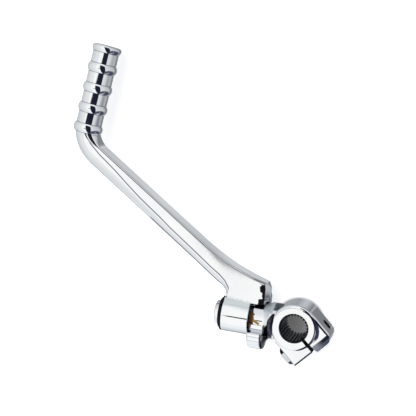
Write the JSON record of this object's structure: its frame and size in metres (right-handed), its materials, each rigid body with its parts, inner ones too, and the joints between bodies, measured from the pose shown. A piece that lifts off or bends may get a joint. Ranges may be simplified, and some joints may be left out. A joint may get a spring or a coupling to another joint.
{
  "type": "folding kick start lever",
  "caption": "Folding motorcycle kick start lever: splined clamp hub, hinged cranked arm with a ribbed foot peg, washer and circlip.",
  "frame": {"origin": "on the axis of the splined shaft bore, at the bore's mid length, where the fold axis crosses it", "axes": "+Z along the shaft bore towards the hub's outer face; -X along the fold axis to the circlip; +Y to the folded foot peg's side"},
  "size_m": [0.1644, 0.17, 0.0222],
  "materials": {
    "chrome_plate": "polished chrome plating on forged steel",
    "black_steel": "black phosphated spring steel",
    "zinc_steel": "bright zinc plating",
    "bare_steel": "bare hardened steel"
  },
  "bodies": {
    "boss": {"boss": "chrome_plate", "thrust_washer": "black_steel", "circlip": "black_steel", "detent_ball": "bare_steel", "detent_spring": "bare_steel", "pinch_bolt": "zinc_steel"},
    "lever": {"lever": "chrome_plate"}
  },
  "joints": [
    {"name": "fold", "type": "hinge", "parent": "boss", "child": "lever", "pos_m": [0, 0, 0], "axis": [1, 0, 0], "range_deg": [0, 90]}
  ]
}
